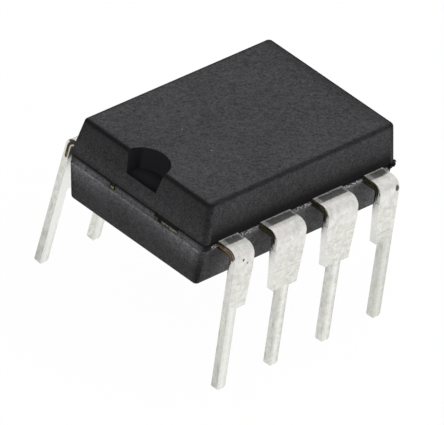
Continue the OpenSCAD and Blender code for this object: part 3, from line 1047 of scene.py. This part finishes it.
# %% [markdown]
# Underneath, two shallow round marks show where the ejector pins pushed the part
# out of its mould. They are cut with short cylinders, because only a real dent
# catches the light at its rim.

# %% Ejector marks
EJECTOR_D = 1.2 * MM
EJECTOR_DEPTH = 0.05 * MM
EJECTOR_X = 2.7 * MM
EJECTOR_CORNERS = 64


def mark_underside(piece):
    for x in (-EJECTOR_X, EJECTOR_X):
        spot = (x, 0, BOTTOM_Z)
        cut(piece, new_cylinder(EJECTOR_D / 2, 2 * EJECTOR_DEPTH, spot, EJECTOR_CORNERS))


mark_underside(housing)
print("two ejector marks cut", in_mm(EJECTOR_DEPTH)[0], "mm deep")

# %% [markdown]
# At the far end of the parting line a crumb of resin is left, where the gate was
# broken off. It is a small block, cut up and shaken. A sculpted crumb would look no
# different at this size.

# %% The broken gate
CRUMB_SIZE = Vector((0.25, 0.23, 0.24)) * MM
CRUMB_INSET = 0.28 * MM
CRUMB_OUT = 0.03 * MM
CRUMB_DROP = 0.05 * MM
CRUMB_SHAKE = 0.05 * MM
CRUMB_SEED = 5


def break_gate():
    """The crumb at the far end's near corner."""
    low = Vector((BODY_L / 2 - CRUMB_INSET, -BODY_W / 2 - CRUMB_OUT, FRAME_Z - CRUMB_DROP))
    crumb = new_box("broken_gate", low, low + CRUMB_SIZE)
    edit(crumb)
    bpy.ops.mesh.select_all(action="SELECT")
    bpy.ops.mesh.subdivide(number_cuts=3)
    bpy.ops.transform.vertex_random(offset=CRUMB_SHAKE, seed=CRUMB_SEED)
    face_outwards()
    leave_edit()
    dress(crumb, EPOXY)
    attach(crumb, "root")
    return crumb


crumb = break_gate()
print("the gate's crumb has", len(crumb.data.polygons), "faces")

# %% [markdown]
# Resin that crept out along the parting line stands as thin, torn fins beside the
# leads. Each fin is a flat strip whose outer corners are shaken, so that its edge
# is as ragged as torn film. A rough picture on the wall would stay flat at its rim.

# %% Torn flash along the parting line
FLASH_T = 0.03 * MM
FLASH_ROOT = 0.08 * MM
FLASH_OUT = 0.04 * MM
FLASH_SHAKE = 0.08 * MM
FLASH_CUTS = 14
FLASH_HALF_L = 0.46 * MM
CORNER_FLASH_HALF_L = 0.11 * MM
CORNER_FLASH_INSET = 0.48 * MM
FLASH_SEED = 9


def flash_finish():
    material, shader, place = new_material("torn_flash")
    torn = place.noise(11000, 3.0, 0.7).ramp(0.42, 0.6)
    wire(shader, Base_Color=torn.between(grey(0.02), grey(0.55)))
    wire(shader, Roughness=0.35, Specular_IOR_Level=0.5)
    return material


def tear_flash(name, side, low_x, high_x, seed):
    """A thin torn fin; side is -1 on the front wall and 1 on the back wall."""
    root = side * (BODY_W / 2 - FLASH_ROOT)
    tip = side * (BODY_W / 2 + FLASH_OUT)
    low = (low_x, min(root, tip), FRAME_Z - FLASH_T / 2)
    high = (high_x, max(root, tip), FRAME_Z + FLASH_T / 2)
    fin = new_box(name, low, high)
    edit(fin)
    pick(fin, "edges", lambda e: abs(e.verts[0].co.x - e.verts[1].co.x) > TINY)
    bpy.ops.mesh.subdivide(number_cuts=FLASH_CUTS)
    pick(fin, "verts", lambda v: abs(v.co.y - tip) < TINY)
    bpy.ops.transform.vertex_random(offset=FLASH_SHAKE, normal=0.0, seed=seed)
    face_outwards()
    leave_edit()
    dress(fin, FLASH)
    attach(fin, "root")
    return fin


def tear_all_flash():
    """A fin in each gap between leads, and a short one at each corner."""
    fins = []
    for number, gap in enumerate((-2, -1, 0, 1, 2)):
        is_corner = abs(gap) == 2
        corner_x = math.copysign(BODY_L / 2 - CORNER_FLASH_INSET, gap)
        centre = corner_x if is_corner else gap * PITCH
        reach = CORNER_FLASH_HALF_L if is_corner else FLASH_HALF_L
        for side, row in ((-1, "front"), (1, "back")):
            name = f"flash_{row}_{number + 1}"
            fins.append(tear_flash(name, side, centre - reach, centre + reach, number + FLASH_SEED))
    return fins


FLASH = flash_finish()
fins = tear_all_flash()
print(len(fins), "fins of flash with", [len(fin.data.polygons) for fin in fins], "faces")

# %% [markdown]
# The resin flowed round everything that was in the mould. The leads, the pad,
# the die and its wires are cut out of the housing from copies of the packed
# solids, so each piece sits in its own seat. Left uncut, two solids would share
# the same space.

# %% Seat the inner pieces in the housing
EMBEDDED = [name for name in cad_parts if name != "package_body"]


def seat_inner_pieces(piece):
    for name in sorted(EMBEDDED):
        cut(piece, solid_copy(name))


seat_inner_pieces(housing)
smooth(housing)
apply(housing, "WEIGHTED_NORMAL", keep_sharp=True, weight=100)
dress(housing, EPOXY)
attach(housing, "root")
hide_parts("package_body")
print("housing seated round", len(EMBEDDED), "pieces:", len(housing.data.polygons), "faces")

# %% [markdown]
# A lead starts as a flat blank, stamped out of copper strip: a narrow pin, a
# wider shoulder that stops it on the board, and a finger that the resin grips.
# Lengths along the blank are counted from the middle of the package, so the
# stations below are where a ruler would find them before the lead is bent. The
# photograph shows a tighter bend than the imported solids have, so the bend's radius
# is the photograph's. The back row splays more and so stands wider.

# %% Stations along the blank
BODY_SIDE = BODY_W / 2
BEND_R = 0.12 * MM
MID_R = BEND_R + LEAD_T / 2
BEND_STEPS = 16
LEAD_REACH = 0.88 * MM
STANDOFF = 0.51 * MM
FRONT_SPLAY = 3.3
BACK_SPLAY = 4.8
TIP_L = 0.08 * MM
TIP_TAPER = 0.06 * MM
TIE_CUT = 0.05 * MM
TIE_CUT_L = 0.3 * MM
FOOT_CORNER = 0.04 * MM
SHOULDER_W = 1.53 * MM
FOOT_W = 1.16 * MM
CORNER_SHOULDER_W = 0.98 * MM
CORNER_FOOT_W = 0.82 * MM
GRIP = BODY_SIDE - 0.3 * MM
MOUTH = BODY_SIDE - 0.06 * MM
LOCK_L = 0.2 * MM
LOCK_DEPTH = 0.1 * MM
FINGER = 0.42 * MM
FINGER_GAP = 0.3 * MM
ARM_W = 0.55 * MM
ARM_GAP = 0.34 * MM
NOSE_W = 0.45 * MM
NOSE_GAP = 0.6 * MM
EDGE_ROLL = 0.022 * MM
PAD_W = 2.6 * MM


class Row:
    """One side's leads: how they splay, and where bend, foot and tip are on the blank."""

    # a row that is given where its tips stand moves its bend to reach them
    def __init__(self, splay, tip_out=None):
        self.splay = math.radians(splay)
        inner_face_z = FRAME_Z - MID_R + BEND_R * math.sin(self.splay)
        pin_l = inner_face_z / math.cos(self.splay)
        shoulder_l = (inner_face_z - BOTTOM_Z + STANDOFF) / math.cos(self.splay)
        reach = (BEND_R + LEAD_T) * math.cos(self.splay) + pin_l * math.sin(self.splay)
        self.bend = tip_out - reach if tip_out else BODY_SIDE + LEAD_REACH - BEND_R - LEAD_T
        self.tip_out = self.bend + reach
        self.bend_end = self.bend + MID_R * (math.pi / 2 - self.splay)
        self.foot = self.bend_end + shoulder_l
        self.tip = self.bend_end + pin_l

    def stations(self, lock):
        length = self.bend_end - self.bend
        bend = [self.bend + length * i / BEND_STEPS for i in range(BEND_STEPS + 1)]
        return [*lock, GRIP, MOUTH, *bend, self.bend_end + TIE_CUT_L, self.foot]


FRONT = Row(FRONT_SPLAY)
BACK = Row(BACK_SPLAY, FRONT.tip_out)
for row_name, row in (("front", FRONT), ("back", BACK)):
    print(row_name, "row's bend, foot and tip in mm:", in_mm(row.bend, row.foot, row.tip))

# %% [markdown]
# The blank is a bar that is extruded along its length, from station to station,
# and then sideways where it is wider. Each widening starts from the faces that
# are outermost so far, so the blank stays one closed solid. An outline could be
# drawn and thickened instead, but then its edges would be harder to pick out.

# %% Draw out and widen a bar


def bar(name, start, stations, tip):
    """The pin's own strip from start to the tip, with an edge loop at each station."""
    half = PIN_W / 2
    piece = new_box(name, (-half, start, -LEAD_T / 2), (half, stations[0], LEAD_T / 2))
    edit(piece)
    pick(piece, "faces", lambda f: f.normal.y > FACING)
    y = stations[0]
    for station in [*stations[1:], tip - TIP_L]:
        push(y=station - y)
        y = station
    push(y=TIP_L)
    resize(1 - TIP_TAPER / half, 1, 1)
    return piece


def widen(piece, side, low, high, width, skip=None):
    """Brings the outermost side faces between two stations out to a width; side is 1 or -1."""
    mesh = bmesh.from_edit_mesh(piece.data)

    def inside(face):
        y = centre_of(face).y
        is_skipped = skip and skip[0] < y < skip[1]
        return face.normal.x * side > FACING and low < y < high and not is_skipped

    def station_of(face):
        return round(centre_of(face).y / TINY)

    outermost = {}
    for face in filter(inside, mesh.faces):
        key = station_of(face)
        outermost[key] = max(outermost.get(key, -1), centre_of(face).x * side)
    reach = max(outermost.values())

    def chosen(face):
        return inside(face) and centre_of(face).x * side > outermost[station_of(face)] - TINY

    pick(piece, "faces", chosen)
    push(x=(width - reach) * side)


def shape_shoulder(piece, row, side, width, foot_width):
    """Tapers one side's shoulder towards its foot and leaves the recess of the cut tie."""
    cut_end = row.bend_end + TIE_CUT_L
    ledge = TIE_CUT + (foot_width - width) * TIE_CUT_L / (row.foot - row.bend_end)

    def at_foot(vertex, reach):
        return abs(vertex.co.y - row.foot) < TINY and vertex.co.x * side > reach - TINY

    def below_cut(face):
        middle = centre_of(face)
        is_outside = middle.x * side > PIN_W and face.normal.x * side > FACING
        return is_outside and cut_end < middle.y < row.foot

    pick(piece, "verts", lambda v: at_foot(v, width - TIE_CUT))
    resize((foot_width - ledge) / (width - TIE_CUT), 1, 1)
    pick(piece, "faces", below_cut)
    push(x=ledge * side)
    pick(piece, "edges", lambda e: all(at_foot(v, foot_width) for v in e.verts))
    bpy.ops.mesh.bevel(offset=FOOT_CORNER, segments=4, affect="EDGES")


def roll_edges(piece):
    """Rounds the edges that stand outside the resin, as the punch rolls them over."""

    def sharp(edge):
        outside = all(v.co.y > MOUTH - TINY for v in edge.verts)
        return outside and len(edge.link_faces) == 2 and edge.calc_face_angle() > math.radians(40)

    pick(piece, "edges", sharp)
    bpy.ops.mesh.bevel(offset=EDGE_ROLL, segments=3, profile=0.5, affect="EDGES", clamp_overlap=True)


print("bars are", in_mm(PIN_W, LEAD_T), "mm in section; their edges roll by", in_mm(EDGE_ROLL)[0])

# %% [markdown]
# Two kinds of blank come from the bar. A middle lead has a shoulder and a finger on
# both sides. A corner lead stands near the body's end, so it has a shoulder on one
# side alone, and an arm that carries the current in to the die. Both widen the same
# bar, because one more function is less to keep true than two outlines.

# %% Stamp the blanks


def middle_blank(name, row):
    """A lead from the middle of a row, with a finger and a shoulder on both sides."""
    start = PAD_W / 2 + FINGER_GAP
    lock = ((GRIP + start - LOCK_L) / 2, (GRIP + start + LOCK_L) / 2)
    width, foot_width = SHOULDER_W / 2, FOOT_W / 2
    piece = bar(name, start, row.stations(lock), row.tip)
    for side in (1, -1):
        widen(piece, side, start, row.foot, FINGER - LOCK_DEPTH)
        widen(piece, side, start, row.foot, FINGER, skip=lock)
        widen(piece, side, GRIP, row.foot, width - TIE_CUT)
        shape_shoulder(piece, row, side, width, foot_width)
    roll_edges(piece)
    leave_edit()
    return piece


def corner_blank(name, row):
    """A lead from the end of a row, whose shoulder and arm are on its +x side."""
    half = PIN_W / 2
    arm_end = PITCH - FINGER - ARM_GAP
    start = GRIP - ARM_W
    lock = (start + (ARM_W - LOCK_L) / 2, start + (ARM_W + LOCK_L) / 2)
    width, foot_width = CORNER_SHOULDER_W - half, CORNER_FOOT_W - half
    piece = bar(name, start, row.stations(lock), row.tip)
    widen(piece, -1, *lock, half - LOCK_DEPTH)
    widen(piece, 1, start, row.foot, width - TIE_CUT)
    widen(piece, 1, start, GRIP, arm_end - NOSE_W)
    widen(piece, 1, start, GRIP, arm_end)
    pick(piece, "faces", lambda f: f.normal.y < -FACING and centre_of(f).x > arm_end - NOSE_W)
    push(y=PAD_W / 2 + NOSE_GAP - start)
    shape_shoulder(piece, row, 1, width, foot_width)
    roll_edges(piece)
    leave_edit()
    return piece


print("shoulders of the middle and the corner leads in mm:", in_mm(SHOULDER_W, CORNER_SHOULDER_W))

# %% [markdown]
# Each blank is bent over a die: up to the bend it stays flat, then it follows an
# arc, and beyond the arc it runs down and slightly outwards. Before the bend each
# corner notes where it was on the flat blank, because the tin and the bare
# copper of the cut sides follow the blank and not the room. A Simple Deform
# modifier can bend too, but not by a radius and a splay that are given.

# %% Bend and place the leads
SHARPEST_SMOOTH = 30
NECK_SHARE = 0.9
# each lead's tarnish and painted shade on its cut sides; a low value marks the brightest lead
TARNISH_AND_SHADE = {1: 0.5, 2: 1.0, 3: 1.0, 4: 1.0, 5: 0.8, 6: 1.0, 7: 1.0, 8: 0.1}


def bent(flat, row):
    """Where a point of the flat blank goes; heights count from the leadframe's middle."""
    along = flat.y - row.bend
    if along <= 0:
        return Vector(flat)
    turn = min(along, row.bend_end - row.bend) / MID_R
    rest = max(0, flat.y - row.bend_end)
    out = (MID_R + flat.z) * math.sin(turn) + rest * math.cos(turn)
    drop = MID_R - (MID_R + flat.z) * math.cos(turn) + rest * math.sin(turn)
    return Vector((flat.x, row.bend + out, -drop))


def note_flat_places(piece, tarnish_and_shade):
    """Writes each corner's place on the flat blank, and what tells one lead from another."""
    notes = piece.data.attributes.new("blank", "FLOAT_VECTOR", "POINT")
    for vertex, note in zip(piece.data.vertices, notes.data):
        note.vector = (vertex.co.x, vertex.co.y - BODY_SIDE, vertex.co.z)
    neck_end = BODY_SIDE + NECK_SHARE * LEAD_REACH
    neck = [v.co.x for v in piece.data.vertices if BODY_SIDE < v.co.y < neck_end]
    reaches = piece.data.attributes.new("lead", "FLOAT_VECTOR", "POINT")
    for note in reaches.data:
        note.vector = (max(neck), -min(neck), tarnish_and_shade)
    sides = piece.data.attributes.new("side", "FLOAT", "FACE")
    for face, note in zip(piece.data.polygons, sides.data):
        note.value = abs(face.normal.x)


def make_lead(number):
    """Stamps, bends, places and dresses one lead; along counts pitches from the middle."""
    is_front = number <= LEAD_COUNT / 2
    along = (number - 1 if is_front else LEAD_COUNT - number) - (LEAD_COUNT / 2 - 1) / 2
    is_corner = abs(along) > 1
    turn = -1 if is_front else 1
    inner = -turn if along > 0 else turn
    row = FRONT if is_front else BACK
    piece = (corner_blank if is_corner else middle_blank)(f"pin_{number}", row)
    if is_corner and inner < 0:
        piece.data.transform(Matrix.Scale(-1, 4, (1, 0, 0)))
    note_flat_places(piece, TARNISH_AND_SHADE[number])
    for vertex in piece.data.vertices:
        place = bent(vertex.co, row)
        vertex.co = (along * PITCH + turn * place.x, turn * place.y, FRAME_Z + place.z)
    edit(piece)
    face_outwards()
    leave_edit()
    smooth(piece, SHARPEST_SMOOTH)
    dress(piece, TIN)
    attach(piece, "root")
    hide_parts(f"lead_{number}")
    return piece


leads = [make_lead(number) for number in range(1, LEAD_COUNT + 1)]
print(len(leads), "leads with", [len(lead.data.polygons) for lead in leads], "faces")

# %% [markdown]
# The leadframe's tie bars end in the parting line at the notch end, where the trim
# tool sheared them: one wide and smeared, one narrow and greenish, with painted
# shade round each and across their upper part, where a thin gap would be. The shade
# is colour and not cuts, because the gaps are thinner than the resin's own grain.

# %% Finish of the leadframe
TIE_SHADES = (colour(0.03, 0.027, 0.018), colour(0.21, 0.20, 0.16))
NARROW_SHADES = (colour(0.10, 0.11, 0.04), colour(0.26, 0.28, 0.12))
SMEARED_SHADES = (colour(0.035, 0.022, 0.013), colour(0.12, 0.075, 0.045))
NARROW_TIE_Y = 1.15 * MM
WIDE_TIE_GAP_Y = -1.12 * MM


def leadframe_finish():
    """Copper with tin on it, the tie bars' ends as the trim tool left them, and painted shade round
    them.
    """
    material, shader, place = new_material("copper_leadframe")
    x, y, z = place.parts()
    mottle = place.noise(15000, 3.0, 0.7).ramp(0.42, 0.6)
    is_wide = y.ramp(0.1 * MM, -0.1 * MM)
    smeared = (y + 1.0 * MM).ramp(-0.03 * MM, 0.03 * MM) * is_wide
    metal = layered(mottle.between(*TIE_SHADES), [
        (1 - is_wide, mottle.between(*NARROW_SHADES)),
        (smeared, mottle.between(*SMEARED_SHADES))])
    wire(shader, Base_Color=metal, Metallic=0.7, Roughness=mottle * 0.2 + 0.4)

    # painted shade round the tie bars' ends and across their upper part
    beside = abs(y - NARROW_TIE_Y).ramp(0.05 * MM, 0.09 * MM) * (1 - is_wide)
    gap = abs(y - WIDE_TIE_GAP_Y).ramp(0.13 * MM, 0.07 * MM).most(beside)
    gap = gap.most((z - FRAME_Z).ramp(-0.05 * MM, -0.01 * MM))
    gap = gap.most((z - FRAME_Z).ramp(-0.11 * MM, -0.13 * MM) * (1 - is_wide))
    at_end = abs(x).ramp(BODY_L / 2 - 0.3 * MM, BODY_L / 2 - 0.2 * MM)
    mix_dark(material, gap * at_end * 0.95, grey(0.010))
    return material


COPPER = leadframe_finish()
print("leadframe finish has", len(COPPER.node_tree.nodes), "nodes")

# %% [markdown]
# The die, its bonding layer and the wires are hidden in the resin. Their solids
# aren't remodelled, but each still gets a plain finish of its own, for whoever
# looks inside.

# %% Finishes of the hidden pieces
GOLD_SHADES = (colour(0.76, 0.5, 0.16), colour(0.84, 0.6, 0.22))
GLUE_SHADES = (colour(0.42, 0.42, 0.40), colour(0.66, 0.66, 0.64))
SILICON_SHADES = (colour(0.10, 0.11, 0.15), colour(0.14, 0.15, 0.19))


def gold_finish():
    """Drawn gold with a soft mottle."""
    material, shader, place = new_material("gold_wire")
    mottle = place.noise(9000, 3.0, 0.7)
    wire(shader, Base_Color=mottle.ramp(0.4, 0.62).between(*GOLD_SHADES), Metallic=0.8)
    wire(shader, Roughness=mottle * 0.3 + 0.15)
    return material


def speckled_finish(name, shades, rough):
    """A finely speckled surface between two shades."""
    material, shader, place = new_material(name)
    grain = place.noise(12000, 2.0, 0.6)
    wire(shader, Base_Color=grain.between(*shades), Roughness=grain * 0.2 + rough)
    return material


GOLD = gold_finish()
GLUE = speckled_finish("die_attach", GLUE_SHADES, 0.5)
SILICON = speckled_finish("silicon", SILICON_SHADES, 0.1)
INNER = {"die_pad": COPPER, "die_attach": GLUE, "silicon_die": SILICON}
for node_name in EMBEDDED:
    if not node_name.startswith("lead_"):
        dress(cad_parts[node_name], INNER.get(node_name, GOLD))
print("inner pieces dressed:", len(EMBEDDED) - len(leads))

# %% Finish
low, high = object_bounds()
print("dressed part in mm:", in_mm(*(high - low)))
